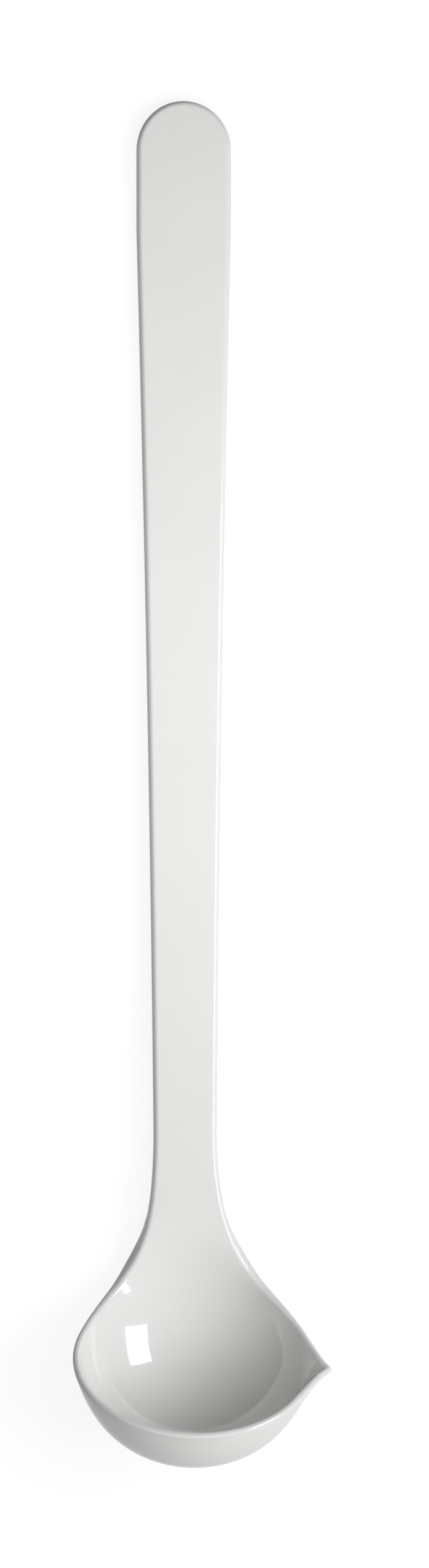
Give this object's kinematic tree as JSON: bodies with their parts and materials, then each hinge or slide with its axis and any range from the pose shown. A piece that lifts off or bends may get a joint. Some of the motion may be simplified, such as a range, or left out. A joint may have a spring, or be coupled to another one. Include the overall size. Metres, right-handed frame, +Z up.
{
  "type": "plating spoon",
  "caption": "White glossy plating spoon: long flat handle with a rounded end, flared neck and a deep round bowl with a pinched pouring lip on one side of its leaning rim.",
  "frame": {"origin": "bottom centre of the bounding box, on the table the spoon lies on", "axes": "+Y along the handle from the bowl to the handle's end, +X towards the pouring lip, +Z up out of the bowl, with the bottom of the bowl and the flat back of the handle's end on the table"},
  "size_m": [0.0562, 0.2996, 0.0362],
  "materials": {
    "white_moulding": "smooth polished white melamine-type moulding"
  },
  "bodies": {
    "root": {"bowl": "white_moulding", "neck": "white_moulding", "handle": "white_moulding"}
  },
  "joints": []
}
